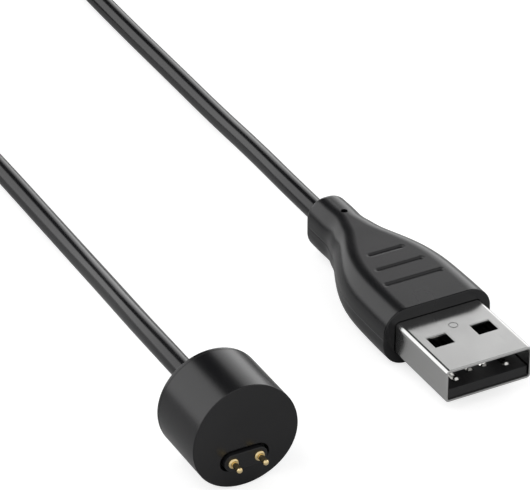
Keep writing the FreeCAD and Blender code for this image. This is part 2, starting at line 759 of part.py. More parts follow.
def plug_shell():
    body = shell_blank("plug_shell")
    inside = new_sketch(body, "shell_inside", "dims.plug_length")
    draw_rounded_rectangle(inside, "dims.shell_width / 2 - dims.shell_sheet",
                           "dims.shell_height / 2 - dims.shell_sheet",
                           "dims.shell_edge_radius - dims.shell_sheet")
    tube_body = pocket(body, inside, "dims.plug_length", "shell_bore", least=500)
    half_width, half_height = size("shell_width") / 2, size("shell_height") / 2
    front = size("plug_length") - 0.01
    within = size("shell_sheet") - 0.02
    round_edges(body, tube_body, lambda edge: edge.BoundBox.ZMin > front
                and (abs(edge.CenterOfMass.x) > half_width - within
                     or abs(edge.CenterOfMass.y) > half_height - within),
                "dims.shell_front_radius", "shell_front_round")
    windows = new_sketch(body, "latch_windows", role="XZ_Plane")
    level = "dims.plug_length - dims.window_setback - dims.window_length / 2"
    for side in ("-", ""):
        draw_rectangle(windows, "dims.window_width", "dims.window_length",
                       side + "dims.window_offset", level)
    opening = body.newObject("PartDesign::Pocket", "latch_openings")
    opening.Profile = windows
    opening.Midplane = True
    opening.setExpression("Length", "2 * dims.shell_height")
    cut_volume(body, opening, 3)
    longest = max(size("window_width"), size("window_length")) + 0.01
    round_edges(body, opening, lambda edge: edge.Length < longest and edge.BoundBox.YLength < 0.01
                and abs(edge.BoundBox.Center.y) > half_height - 0.01 and edge.BoundBox.ZMax < front - 1,
                "dims.window_edge_radius", "window_rounds")
    return plug_placed(body)


def shell_space():
    """Everything that the shell's outside takes up, for cutting its neighbours."""
    return plug_placed(shell_blank("shell_space"))


def inner_mould_blank():
    body = new_body("inner_mould_blank")
    outside = new_sketch(body, "inner_mould_outside", "dims.cord_grip")
    draw_rectangle(outside, "dims.inner_mould_neck_width", "dims.inner_mould_neck_height")
    front = new_sketch(body, "inner_mould_front", "dims.shell_rear - dims.inner_mould_straight")
    draw_rectangle(front, "dims.inner_mould_width", "dims.inner_mould_height")
    doc.recompute()
    loft = body.newObject("PartDesign::AdditiveLoft", "inner_mould_loft")
    loft.Profile = outside
    loft.Sections = [front]
    loft.Ruled = True
    doc.recompute()
    end = new_sketch(body, "inner_mould_end", "dims.shell_rear - dims.inner_mould_straight")
    draw_rectangle(end, "dims.inner_mould_width", "dims.inner_mould_height")
    pad(body, end, "dims.inner_mould_straight", "inner_mould_pad")
    return plug_placed(body)


def contact_layout():
    """Each contact's name, its place across the tongue and how far its front stands back."""
    return (("plug_contact_power", "-dims.outer_contact_offset", "dims.outer_contact_setback"),
            ("plug_contact_data_minus", "-dims.inner_contact_offset", "dims.inner_contact_setback"),
            ("plug_contact_data_plus", "dims.inner_contact_offset", "dims.inner_contact_setback"),
            ("plug_contact_ground", "dims.outer_contact_offset", "dims.outer_contact_setback"))


TONGUE_TOP = "(dims.shell_sheet - dims.shell_height / 2 + dims.tongue_thickness)"


def plug_contact(label, across, setback):
    body = new_body(label)
    section = new_sketch(body, label + "_section", "dims.contact_rear")
    draw_rectangle(section, "dims.contact_width", "dims.contact_height", across,
                   TONGUE_TOP + " - dims.contact_depth + dims.contact_height / 2")
    bar = pad(body, section, "dims.plug_length - %s - dims.contact_rear" % setback, label + "_bar")
    front = bar.Shape.BoundBox.ZMax
    nose = round_edges(body, bar, lambda edge: edge.BoundBox.ZMin > front - 0.01
                       and edge.BoundBox.YLength > size("contact_height") / 2,
                       "dims.contact_nose_radius", label + "_nose")
    top = bar.Shape.BoundBox.YMax - 0.01
    slope_edges(body, nose, lambda edge: edge.BoundBox.YMin > top and edge.BoundBox.ZMin > front - 0.01,
                "dims.contact_nose_slope", label + "_slope")
    return plug_placed(body)


def plug_contact_carrier():
    body = new_body("plug_contact_carrier")
    base = new_sketch(body, "carrier_base", "dims.shell_rear")
    width = "dims.shell_width - 2 * dims.shell_sheet - 2 * dims.carrier_side_gap"
    height = "dims.shell_height - 2 * dims.shell_sheet - 2 * dims.carrier_gap"
    draw_rectangle(base, width, height)
    pad(body, base, "dims.carrier_base_length", "carrier_base_pad")
    tongue = new_sketch(body, "carrier_tongue", "dims.shell_rear")
    thickness = "dims.tongue_thickness - dims.carrier_gap"
    draw_rectangle(tongue, width, thickness, "0", TONGUE_TOP + " - (%s) / 2" % thickness)
    pad(body, tongue, "dims.plug_length - dims.carrier_setback - dims.shell_rear", "carrier_tongue_pad")
    for label, across, setback in contact_layout():
        groove = new_sketch(body, "groove_" + label, "dims.shell_rear")
        draw_rectangle(groove, "dims.contact_width", "dims.contact_height", across,
                       TONGUE_TOP + " - dims.contact_depth + dims.contact_height / 2")
        pocket(body, groove, "dims.plug_length - %s - dims.shell_rear" % setback, "cut_" + label,
               down=False, least=1)
    return plug_placed(body)


def plug_solder_joints():
    joints = []
    middle = TONGUE_TOP + " - dims.contact_depth + dims.contact_height / 2"
    for word, side in (("left", "-"), ("right", "")):
        joints.append(cylinder("plug_solder_" + word, "dims.plug_solder_diameter",
                               "dims.plug_solder_length", side + "dims.outer_contact_offset", middle,
                               "dims.contact_rear - dims.plug_solder_length"))
    group = doc.addObject("Part::Compound", "plug_solder_joints")
    group.Label = "plug_solder_joints"
    group.Links = joints
    doc.recompute()
    return plug_placed(group)


def plug_wire(label, side):
    """A conductor from the cord's end to its contact's solder joint."""
    low = size("cord_grip")
    high = size("contact_rear") - size("plug_solder_length")
    up = value_of(TONGUE_TOP + " - dims.contact_depth + dims.contact_height / 2")
    near, far = side * size("plug_wire_offset"), side * size("outer_contact_offset")
    bend = WIRE_STRAIGHT_SHARE * (high - low)
    middle = size("section_rise_a")
    route = [(near, middle, low), (near, middle, low + bend), (far, up, high - bend), (far, up, high)]
    return plug_placed(tube_feature(label, route, size("plug_wire")))


# ---------------------------------------------------------------- the whole cable
doc = FreeCAD.newDocument("charging_cable")
sheet = build_sheet()

parts = [dock_housing(), dock_rear_cap(), dock_cord_crimp(), contact_block(), magnet_yoke(),
         dock_circuit_board(), dock_solder_joints()]
for word, side in (("left", -1), ("right", 1)):
    parts.append(pin_barrel("pin_barrel_" + word, side))
    parts.append(pin_plunger("pin_plunger_" + word, side))
    parts.append(pin_spring("pin_spring_" + word, side))
    parts.append(magnet("magnet_" + word, side))
for colour, side in (("red", -1), ("black", 1)):
    parts.append(dock_wire("dock_%s_wire" % colour, side))

tie = coil_tie()
coil = cut("cord_coil", coil_ring(), tie)
dock_run = tube_feature("dock_run_tube", DOCK_ROUTE, size("cord_diameter"), "cord_dock_run")
plug_run = tube_feature("plug_run_tube", PLUG_ROUTE, size("cord_diameter"), "cord_plug_run")
parts += [tie, coil, cut("cord_dock_run", dock_run, coil), cut("cord_plug_run", plug_run, coil)]

contacts = [plug_contact(*row) for row in contact_layout()]
wires = [plug_wire("plug_%s_wire" % colour, side) for colour, side in (("red", -1), ("black", 1))]
solder = plug_solder_joints()
space = shell_space()
inner_blank = inner_mould_blank()
inner = cut("plug_inner_mould", inner_blank, fuse("inner_mould_room", contacts + wires + [solder]))
overmould = cut("plug_overmould", overmould_blank(), fuse("overmould_room", [space, inner_blank]))
parts += contacts + wires + [solder, plug_shell(), plug_contact_carrier(), inner, overmould]

doc.recompute()
for item in doc.Objects:
    if {"Invalid", "Error"} & set(item.State):
        raise RuntimeError("%s failed: %s" % (item.Label, item.State))
os.makedirs("parts", exist_ok=True)
for piece in parts:
    if piece.Shape.isNull() or not piece.Shape.isValid():
        raise RuntimeError("%s has no valid shape" % piece.Label)
    piece.Shape.exportStep("parts/%s.step" % piece.Label)
    print("%-26s %2d solid(s) %10.3f mm3" % (piece.Label, len(piece.Shape.Solids), piece.Shape.Volume))
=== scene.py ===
import json
import math

import bmesh
import bpy
import numpy as np
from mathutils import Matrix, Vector


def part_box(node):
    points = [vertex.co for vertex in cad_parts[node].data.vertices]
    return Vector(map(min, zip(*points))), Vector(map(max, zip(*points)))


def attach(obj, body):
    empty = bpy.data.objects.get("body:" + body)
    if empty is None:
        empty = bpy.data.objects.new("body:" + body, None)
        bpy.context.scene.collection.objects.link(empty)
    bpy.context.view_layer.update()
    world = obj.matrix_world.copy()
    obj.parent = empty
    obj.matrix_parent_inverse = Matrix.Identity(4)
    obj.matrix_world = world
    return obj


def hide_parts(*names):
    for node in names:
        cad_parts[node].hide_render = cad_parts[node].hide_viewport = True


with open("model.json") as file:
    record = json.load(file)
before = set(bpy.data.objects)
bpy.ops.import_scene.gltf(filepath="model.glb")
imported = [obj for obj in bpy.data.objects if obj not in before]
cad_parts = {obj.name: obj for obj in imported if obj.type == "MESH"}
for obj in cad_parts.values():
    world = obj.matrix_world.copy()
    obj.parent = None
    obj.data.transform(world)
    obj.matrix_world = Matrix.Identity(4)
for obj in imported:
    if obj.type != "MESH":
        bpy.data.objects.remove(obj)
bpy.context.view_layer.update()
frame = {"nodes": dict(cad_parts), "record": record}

MM = 0.001

# ---------------------------------------------------------------- places, read from the frame
_, grip_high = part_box("plug_overmould")
shell_low, shell_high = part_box("plug_shell")
coil_low, coil_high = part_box("cord_coil")

PLUG_X = (shell_low.x + shell_high.x) / 2
PLUG_Z = (shell_low.z + shell_high.z) / 2
GRIP_REAR_Y = grip_high.y
SHELL_TOP_Z = shell_high.z
SHELL_FRONT_Y = shell_low.y

# ---------------------------------------------------------------- camera
CAMERA_AZIMUTH = math.radians(-28.09)
CAMERA_ELEVATION = math.radians(31.58)
CAMERA_DISTANCE = 0.4174
CAMERA_TARGET = Vector((0.02394, 0.03655, 0.004))
CAMERA_LENS = 223.0
CAMERA_SENSOR = 36.0
CAMERA_CLIP_START = 0.01


def make_camera():
    """The camera looks down at the floor from the front left, through a long lens."""
    data = bpy.data.cameras.new("camera")
    data.lens = CAMERA_LENS
    data.sensor_width = CAMERA_SENSOR
    data.clip_start = CAMERA_CLIP_START
    camera = bpy.data.objects.new("camera", data)
    bpy.context.scene.collection.objects.link(camera)
    away = Vector((math.sin(CAMERA_AZIMUTH) * math.cos(CAMERA_ELEVATION),
                   -math.cos(CAMERA_AZIMUTH) * math.cos(CAMERA_ELEVATION),
                   math.sin(CAMERA_ELEVATION)))
    camera.location = CAMERA_TARGET + away * CAMERA_DISTANCE
    camera.rotation_euler = away.to_track_quat("Z", "Y").to_euler()
    bpy.context.scene.camera = camera


# ---------------------------------------------------------------- cord
# Points of the cord's two runs, in mm: from the dock's rear, and from inside the plug, to the coil.
CORD_DIAMETER = 2.8 * MM
DOCK_ROUTE = [
    (0.0, 4.15, 6.80),
    (0.0, 14.8, 6.80),
    (0.7, 25.8, 5.70),
    (2.0, 36.8, 3.90),
    (3.1, 47.8, 2.30),
    (3.7, 59.8, 1.52),
    (3.9, 76.8, 1.40),
    (3.6, 98.8, 1.40),
    (3.0, 122.8, 1.40),
]
PLUG_ROUTE = [
    (33.7, 32.4, 4.10),
    (33.7, 45.4, 4.10),
    (34.9, 59.8, 3.00),
    (35.8, 72.8, 1.75),
    (36.3, 86.8, 1.42),
    (36.5, 102.8, 1.40),
    (36.7, 118.8, 1.75),
    (36.75, 131.8, 3.60),
]
COIL_TURNS = 2.5
COIL_POINTS_PER_TURN = 24
COIL_STEP = 2.85
COIL_MIDDLE_RADIUS = 16.0
FLOOR_LEVEL = 1.4
TIE_LIFT = 0.5
UPPER_TURN_RISE = 2.45
CLIMB_EXTRA = 0.45
LEAVE_RISE = 0.4
# Where each change of the coil begins and ends, in turns from its left side.
MOVE_IN = (0.70, 1.0)
CLIMB = (1.50, 1.74)
SETTLE = (1.96, 2.1)
LEAVE = (2.36, 2.5)
# The tie's place within every turn, and how far its lift spreads to both sides.
TIE_PLACE = 0.25
TIE_SPREAD = 0.06
CORD_ROUNDNESS = 10
CORD_FINENESS = 12


def smooth(value, low, high):
    """0 below low, 1 above high, and a smooth rise between them."""
    share = min(max((value - low) / (high - low), 0.0), 1.0)
    return share * share * (3 - 2 * share)


def coil_points():
    """Turns of the put-away cord, clockwise from the coil's left side: one outer turn that moves
    inwards, half an inner turn, then a climb on to the top of both, which leaves at the right."""
    centre_x = (coil_low.x + coil_high.x) / 2 / MM
    centre_y = (coil_low.y + coil_high.y) / 2 / MM
    # A curve of order 3 runs a little inside its points, so they stand this much further out.
    pull_in = 0.75 + 0.25 * math.cos(2 * math.pi / COIL_POINTS_PER_TURN)
    points = []
    for index in range(int(COIL_TURNS * COIL_POINTS_PER_TURN) + 1):
        turn = index / COIL_POINTS_PER_TURN
        angle = math.pi - turn * 2 * math.pi
        inwards = smooth(turn, *MOVE_IN)
        climb = smooth(turn, *CLIMB)
        settle = smooth(turn, *SETTLE)
        leave = smooth(turn, *LEAVE)
        radius = COIL_MIDDLE_RADIUS + COIL_STEP / 2 - COIL_STEP * inwards + COIL_STEP / 2 * climb
        level = (FLOOR_LEVEL + (UPPER_TURN_RISE + CLIMB_EXTRA) * climb - CLIMB_EXTRA * settle
                 + LEAVE_RISE * leave)
        lift = TIE_LIFT * math.exp(-((turn % 1.0 - TIE_PLACE) / TIE_SPREAD) ** 2)
        reach = radius / pull_in
        points.append((centre_x + reach * math.cos(angle), centre_y + reach * math.sin(angle),
                       level + lift))
    return points


def make_cord():
    """One smooth curve from the dock's crimp through the coil to the plug's inside."""
    route = DOCK_ROUTE + coil_points() + PLUG_ROUTE[::-1]
    curve = bpy.data.curves.new("charging_cord", "CURVE")
    curve.dimensions = "3D"
    # The tube's radius is its points' own radius, which also bounds the curve closely.
    curve.bevel_depth = 1.0
    curve.bevel_resolution = CORD_ROUNDNESS
    curve.use_fill_caps = True
    spline = curve.splines.new("NURBS")
    spline.points.add(len(route) - 1)
    for point, place in zip(spline.points, route):
        point.co = (*(Vector(place) * MM), 1.0)
        point.radius = CORD_DIAMETER / 2
    spline.order_u = 3
    spline.use_endpoint_u = True
    spline.resolution_u = CORD_FINENESS
    cord = bpy.data.objects.new("charging_cord", curve)
    bpy.context.scene.collection.objects.link(cord)
    return cord


# ---------------------------------------------------------------- mesh tools
SHARP_ANGLE = math.radians(35)


def link_mesh(name, bm, sharp_angle=SHARP_ANGLE):
    """Turns a bmesh into a smooth-shaded object whose sharp edges stay sharp."""
    bmesh.ops.recalc_face_normals(bm, faces=bm.faces)
    mesh = bpy.data.meshes.new(name)
    bm.to_mesh(mesh)
    bm.free()
    mesh.shade_smooth()
    mesh.set_sharp_from_angle(angle=sharp_angle)
    piece = bpy.data.objects.new(name, mesh)
    bpy.context.scene.collection.objects.link(piece)
    return piece


def skin_rings(bm, rings, closed=False):
    """Quads between neighbouring rings of points. With closed, the last ring joins the first."""
    loops = [[bm.verts.new(point) for point in ring] for ring in rings]
    count = len(loops[0])
    pairs = list(zip(loops, loops[1:])) + ([(loops[-1], loops[0])] if closed else [])
    for one, other in pairs:
        for index in range(count):
            after = (index + 1) % count
            bm.faces.new((one[index], one[after], other[after], other[index]))
    return loops


def spline_through(places, values):
    """A natural cubic spline as a function: it passes through every value, with even curvature."""
    x, y = np.array(places, float), np.array(values, float)
    gaps = np.diff(x)
    slopes = np.diff(y) / gaps
    system, right = np.eye(len(x)), np.zeros(len(x))
    for i in range(1, len(x) - 1):
        system[i, i - 1:i + 2] = gaps[i - 1], 2 * (gaps[i - 1] + gaps[i]), gaps[i]
        right[i] = 6 * (slopes[i] - slopes[i - 1])
    bends = np.linalg.solve(system, right)

    def value(at):
        i = int(np.clip(np.searchsorted(x, at) - 1, 0, len(gaps) - 1))
        before, after, gap = at - x[i], x[i + 1] - at, gaps[i]
        return (bends[i] * after ** 3 + bends[i + 1] * before ** 3) / (6 * gap) + (
            (y[i] / gap - bends[i] * gap / 6) * after
            + (y[i + 1] / gap - bends[i + 1] * gap / 6) * before)
    return value


def levels_between(start, end, step):
    """Even steps from start up to, but without, end."""
    count = max(round((end - start) / step), 1)
    return [start + (end - start) * index / count for index in range(count)]


def apply_modifiers(piece):
    """Keeps what the modifiers make as the piece's own mesh."""
    graph = bpy.context.evaluated_depsgraph_get()
    made = bpy.data.meshes.new_from_object(piece.evaluated_get(graph))
    made.name = piece.name
    piece.modifiers.clear()
    piece.data = made


# ---------------------------------------------------------------- plug grip
# The grip's sections: distance from its rear, half width, half height, corner radius and how far the
# section's middle stands above the plug's axis, in mm.
GRIP_SECTIONS = [
    (0.0, 2.60, 3.35, 2.35, 0.20),
    (0.6, 2.91, 3.65, 2.65, 0.20),
    (3.5, 2.93, 3.68, 2.68, 0.20),
    (5.8, 3.03, 3.70, 2.80, 0.19),
    (7.3, 3.43, 3.72, 2.85, 0.16),
    (8.8, 3.87, 3.75, 2.95, 0.13),
    (10.8, 4.75, 3.78, 3.05, 0.09),
    (13.8, 6.03, 3.82, 3.05, 0.05),
    (17.8, 7.10, 3.86, 3.10, 0.02),
    (22.3, 7.44, 3.88, 3.10, 0.0),
    (25.8, 7.50, 3.89, 3.10, 0.0),
    (28.2, 7.50, 3.89, 3.10, 0.0),
]
GRIP_LENGTH = GRIP_SECTIONS[-1][0]
REAR_ROUND = GRIP_SECTIONS[1][0]
FRONT_ROUND = 0.1
# The fine groove behind the front rim: how far behind the rim's rounding each ring stands, and its inset.
RIM_GROOVE = 0.1
RIM_RINGS = [(0.12, 0.0), (0.09, RIM_GROOVE), (0.03, RIM_GROOVE)]
REAR_ANGLE_STEP = 9
FRONT_ANGLE_STEP = 15
RING_STEP = 0.3
BAR_RING_STEP = 0.07
BAR_MARGIN = 1
CORNER_STEPS = 14
TOP_STEPS = 90
BOTTOM_STEPS = 24
SIDE_STEPS = (1.0, 0.6, 0.25, 0.05, 0.0, -0.05, -0.25, -0.6, -1.0)
PARTING_DEPTH = 0.03
ON_PARTING_LINE = 0.001
FACING_UP = 0.99

# Everything inside the grip from its front to its rear: a fine gap round the shell, the pressed
# part of the shell, the inner mould and the cord.
GRIP_CAVITY = [
    (28.2, 6.09, 2.34, 0.69, 0.0),
    (27.7, 6.05, 2.30, 0.65, 0.0),
    (27.6, 5.94, 2.19, 0.54, 0.0),
    (21.7, 5.94, 2.19, 0.54, 0.0),
    (21.6, 5.52, 2.42, 0.05, 0.0),
    (17.7, 5.52, 2.42, 0.05, 0.0),
    (5.8, 2.22, 2.02, 0.05, 0.0),
    (5.7, 1.42, 1.42, 1.41, 0.2),
    (0.3, 1.42, 1.42, 1.41, 0.2),
    (0.0, 1.60, 1.60, 1.59, 0.2),
]

# The three sunk bars on top of the grip: distance from the rear and half length of each.
BARS = [(15.3, 2.2), (18.8, 3.0), (22.3, 3.8)]
BAR_HALF_WIDTH = 0.45
BAR_DEPTH = 0.25
BAR_EDGE = 0.2

# The small moulding pit on top of the neck, cut through with a round cutter.
PIT_LEVEL = 4.5
PIT_ACROSS = 0.15
PIT_RADIUS = 0.45
PIT_DEPTH = 0.8
PIT_SIDES = 32

SPLINE_LEVELS = [row[0] for row in GRIP_SECTIONS[1:]]
width_at, height_at, corner_at, rise_at = (
    spline_through(SPLINE_LEVELS, [row[column] for row in GRIP_SECTIONS[1:]]) for column in (1, 2, 3, 4))


def plug_point(across, up, level):
    """A place on the plug: across and up from its axis, and forwards from the grip's rear, in mm."""
    return Vector((PLUG_X + across * MM, GRIP_REAR_Y - level * MM, PLUG_Z + up * MM))


def section_at(level):
    """Half width, half height, corner radius and rise of the grip: a round rear end, then the splines."""
    if level >= REAR_ROUND:
        widest, highest = GRIP_SECTIONS[-1][1:3]
        return (min(width_at(level), widest), min(height_at(level), highest), corner_at(level),
                rise_at(level))
    rise = math.sqrt(1 - (1 - level / REAR_ROUND) ** 2)
    return tuple(first + (second - first) * rise
                 for first, second in zip(GRIP_SECTIONS[0][1:], GRIP_SECTIONS[1][1:]))


def outline(half_width, half_height, corner):
    """Points round a rounded rectangle, with their outward directions, from the middle of the left
    side over the top. Every outline has the same number of points in the same order."""
    flat_x, flat_y = half_width - corner, half_height - corner
    middle = len(SIDE_STEPS) // 2
    points = [((-half_width, -flat_y * step), (-1, 0)) for step in SIDE_STEPS[middle:-1]]
    flats = {
        180: [((flat_x * (2 * i / TOP_STEPS - 1), half_height), (0, 1))
              for i in range(1, TOP_STEPS)],
        90: [((half_width, flat_y * step), (1, 0)) for step in SIDE_STEPS[1:-1]],
        0: [((flat_x * (1 - 2 * i / BOTTOM_STEPS), -half_height), (0, -1))
            for i in range(1, BOTTOM_STEPS)],
        -90: [((-half_width, -flat_y * step), (-1, 0)) for step in SIDE_STEPS[1:middle]],
    }
    for start, side_x, side_y in ((180, -1, 1), (90, 1, 1), (0, 1, -1), (-90, -1, -1)):
        for index in range(CORNER_STEPS + 1):
            angle = math.radians(start - 90 * index / CORNER_STEPS)
            out = (math.cos(angle), math.sin(angle))
            points.append(((side_x * flat_x + corner * out[0], side_y * flat_y + corner * out[1]), out))
        points += flats[start]
    return points


def bar_depth(across, level):
    """How deep the sunk bars are at a place on the grip's top, with soft edges and round ends."""
    depth = 0.0
    for bar_level, half_length in BARS:
        distance = math.hypot(max(abs(across) - half_length, 0.0), level - bar_level)
        rise = smooth(distance, BAR_HALF_WIDTH - BAR_EDGE, BAR_HALF_WIDTH)
        depth = max(depth, BAR_DEPTH * (1 - rise))
    return depth


def grip_ring(level, inset=0.0):
    """One ring of the grip's outer skin, with the parting line and the sunk bars in it."""
    half_width, half_height, corner, lift = section_at(level)
    ring = []
    for (across, up), (out_x, out_y) in outline(half_width - inset, half_height - inset, corner - inset):
        sunk = bar_depth(across, level) if out_y > FACING_UP else 0.0
        if abs(up) < ON_PARTING_LINE:
            sunk += PARTING_DEPTH
        ring.append(plug_point(across - out_x * sunk, up - out_y * sunk + lift, level))
    return ring


def sink_pit(grip):
    """Cuts the small round pit into the top of the grip's neck."""
    half_width, half_height, corner, lift = section_at(PIT_LEVEL)
    beside = max(PIT_ACROSS - (half_width - corner), 0.0)
    top = lift + half_height - corner + math.sqrt(corner ** 2 - beside ** 2)
    circle = [(PIT_RADIUS * math.cos(angle), PIT_RADIUS * math.sin(angle))
              for angle in np.linspace(0, 2 * math.pi, PIT_SIDES, endpoint=False)]
    bm = bmesh.new()
    lower, upper = skin_rings(bm, [[plug_point(PIT_ACROSS + x, up, PIT_LEVEL + y) for x, y in circle]
                                   for up in (top - PIT_DEPTH, top + PIT_DEPTH)])
    bm.faces.new(lower)
    bm.faces.new(upper)
    cutter = link_mesh("pit_cutter", bm)
    pit = grip.modifiers.new("pit", "BOOLEAN")
    pit.operation = "DIFFERENCE"
    pit.solver = "EXACT"
    pit.object = cutter
    apply_modifiers(grip)
    grip.data.set_sharp_from_angle(angle=SHARP_ANGLE)
    bpy.data.objects.remove(cutter)


def make_grip():
    """The moulded grip as one closed skin: outside, front face, the room inside, and rear face."""
    rear = [REAR_ROUND * (1 - math.cos(math.radians(angle))) for angle in range(0, 90, REAR_ANGLE_STEP)]
    first_bar, last_bar = BARS[0][0] - BAR_MARGIN, BARS[-1][0] + BAR_MARGIN
    levels = (rear + levels_between(REAR_ROUND, first_bar, RING_STEP)
              + levels_between(first_bar, last_bar, BAR_RING_STEP)
              + levels_between(last_bar, GRIP_LENGTH - FRONT_ROUND - RING_STEP, RING_STEP))
    rings = [grip_ring(level) for level in levels]
    for back, inset in RIM_RINGS:
        rings.append(grip_ring(GRIP_LENGTH - FRONT_ROUND - back, inset))
    for angle in range(0, 91, FRONT_ANGLE_STEP):
        turn = math.radians(angle)
        rings.append(grip_ring(GRIP_LENGTH - FRONT_ROUND * (1 - math.sin(turn)),
                               FRONT_ROUND * (1 - math.cos(turn))))
    for level, half_width, half_height, corner, lift in GRIP_CAVITY:
        rings.append([plug_point(across, up + lift, level)
                      for (across, up), _ in outline(half_width, half_height, corner)])
    bm = bmesh.new()
    skin_rings(bm, rings, closed=True)
    grip = link_mesh("plug_grip", bm)
    sink_pit(grip)
    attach(grip, "cable")
    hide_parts("plug_overmould")
    return grip


# ---------------------------------------------------------------- coil tie
TIE_THICKNESS = 0.48
TIE_WIDTH = 5.0
TIE_EDGE = 0.15
TIE_RIBS = 6
TIE_RIB_DEPTH = 0.12
TIE_WIDTH_STEPS = 60
TIE_ARC_STEPS = 12
TIE_GAP = 0.02
TIE_SHARP_ANGLE = math.radians(50)
# The tail: shares of the way down the outer slope, how it rises on to the band, and how it narrows.
TAIL_SLOPE = (0.3, 0.6, 0.85)
TAIL_FIRST_LIFT = 0.15
TAIL_RISE_STEPS = 6
TAIL_NARROWING = (0.55, 0.85, 1.0)
CORD_RADIUS = CORD_DIAMETER / MM / 2


def tie_path():
    """Where the band's inner face runs round the three turns of cord, clockwise from the inner
    turn, as (place, outward direction) in the plane of radius and height, in mm."""
    low, high = FLOOR_LEVEL + TIE_LIFT, FLOOR_LEVEL + UPPER_TURN_RISE + TIE_LIFT
    centres = [Vector((COIL_MIDDLE_RADIUS - COIL_STEP / 2, low)),
               Vector((COIL_MIDDLE_RADIUS, high)),
               Vector((COIL_MIDDLE_RADIUS + COIL_STEP / 2, low))]
    path = []
    for index, centre in enumerate(centres):
        coming, leaving = centre - centres[index - 1], centres[(index + 1) % 3] - centre
        first, last = (math.atan2(way.x, -way.y) for way in (coming, leaving))
        turn = (first - last) % (2 * math.pi)
        for step in range(TIE_ARC_STEPS + 1):
            angle = first - turn * step / TIE_ARC_STEPS
            out = Vector((math.cos(angle), math.sin(angle)))
            path.append((centre + out * (CORD_RADIUS + TIE_GAP), out))
    return path


def tie_section():
    """The band's section as (across, up from its inner face), in mm: flat inside, ribbed outside."""
    half = TIE_WIDTH / 2
    section = [(-half + TIE_EDGE, 0.0), (half - TIE_EDGE, 0.0), (half, TIE_EDGE)]
    for step in range(TIE_WIDTH_STEPS + 1):
        across = half - TIE_EDGE * 0.6 - (TIE_WIDTH - TIE_EDGE * 1.2) * step / TIE_WIDTH_STEPS
        rib = 0.5 - 0.5 * math.cos(2 * math.pi * TIE_RIBS * (across / TIE_WIDTH + 0.5))
        section.append((across, TIE_THICKNESS - TIE_RIB_DEPTH * (1 - math.sqrt(rib))))
    section.append((-half, TIE_EDGE))
    return section


def tie_ring(place, out, squeeze=1.0):
    """The band's section at one place of its path, bent to the coil's own curve."""
    centre_x, centre_y = (coil_low.x + coil_high.x) / 2, (coil_low.y + coil_high.y) / 2
    ring = []
    for across, up in tie_section():
        radius, level = place + out * up
        angle = across * squeeze / COIL_MIDDLE_RADIUS
        ring.append(Vector((centre_x + radius * math.sin(angle) * MM,
                            centre_y + radius * math.cos(angle) * MM, level * MM)))
    return ring


def make_tie():
    """A ribbed rubber band closed round the coil, with its tapered tail lying over it."""
    path = tie_path()
    bm = bmesh.new()
    skin_rings(bm, [tie_ring(place, out) for place, out in path], closed=True)
    top, outer = path[TIE_ARC_STEPS + 3:2 * TIE_ARC_STEPS + 2], path[2 * TIE_ARC_STEPS + 2:]
    slope = [(top[-1][0].lerp(outer[0][0], share), top[-1][1]) for share in TAIL_SLOPE]
    tail = top + slope
    rings = []
    for index, (place, out) in enumerate(tail):
        risen = smooth(index, 0, TAIL_RISE_STEPS)
        lift = TIE_THICKNESS * (TAIL_FIRST_LIFT + (1 - TAIL_FIRST_LIFT) * risen) - TIE_GAP
        from_end = len(tail) - 1 - index
        rings.append(tie_ring(place + out * lift, out, squeeze=TAIL_NARROWING[min(from_end, 2)]))
    loops = skin_rings(bm, rings)
    bm.faces.new(loops[0])
    bm.faces.new(loops[-1])
    tie = link_mesh("coil_strap", bm, sharp_angle=TIE_SHARP_ANGLE)
    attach(tie, "cable")
    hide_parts("coil_tie")
    return tie


# ---------------------------------------------------------------- shell stamp
STAMP_RADIUS = 0.55
STAMP_LINE = 0.09
STAMP_HEIGHT = 0.03
STAMP_SETBACK = 8.4
STAMP_ROOT = -0.05
STAMP_SIDES = 48
STAMP_SHARP_ANGLE = math.radians(60)


def make_stamp():
    """The small ring that the press leaves on top of the shell, between its two windows."""
    centre = Vector((PLUG_X, SHELL_FRONT_Y + STAMP_SETBACK * MM, SHELL_TOP_Z))
    section = [(-STAMP_LINE, STAMP_ROOT), (-STAMP_LINE * 0.6, STAMP_HEIGHT * 0.8), (0.0, STAMP_HEIGHT),
               (STAMP_LINE * 0.6, STAMP_HEIGHT * 0.8), (STAMP_LINE, STAMP_ROOT)]
    rings = []
    for angle in np.linspace(0, 2 * math.pi, STAMP_SIDES, endpoint=False):
        rings.append([centre + Vector(((STAMP_RADIUS + x) * math.cos(angle),
                                       (STAMP_RADIUS + x) * math.sin(angle), z)) * MM
                      for x, z in section])
    bm = bmesh.new()
    skin_rings(bm, rings, closed=True)
    stamp = link_mesh("shell_stamp", bm, sharp_angle=STAMP_SHARP_ANGLE)
    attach(stamp, "cable")
    return stamp


# ---------------------------------------------------------------- materials
# The part of a noise's values that tones and numbers spread over.
NOISE_SPAN = (0.3, 0.7)


def new_material(name):
    """A material with a Principled shader, and a function that adds and links its nodes. An input is
    given by its name, or by i and its number where a node has several of one name."""
    material = bpy.data.materials.new(name)
    material.use_nodes = True
    nodes, links = material.node_tree.nodes, material.node_tree.links
    shader = nodes["Principled BSDF"]

    def add(kind, values=(), **inputs):
        node = nodes.new(kind)
        for key, value in dict(values).items():
            setattr(node, key, value)
        for key, value in inputs.items():
            socket = node.inputs[int(key[1:])] if key[0] == "i" and key[1:].isdigit() else node.inputs[key]
            if isinstance(value, bpy.types.NodeSocket):
                links.new(value, socket)
            else:
                socket.default_value = value
        return node
    return material, shader, add, links


def stretched_noise(add, scale, stretch=(1, 1, 1), detail=4.0, rough=0.5):
    """Noise over the object's own coordinates, in metres, drawn out along axes with a small stretch."""
    place = add("ShaderNodeTexCoord").outputs["Object"]
    mapping = add("ShaderNodeMapping", Vector=place, Scale=stretch)
    return add("ShaderNodeTexNoise", Vector=mapping.outputs["Vector"], Scale=scale, Detail=detail,
               Roughness=rough).outputs["Fac"]


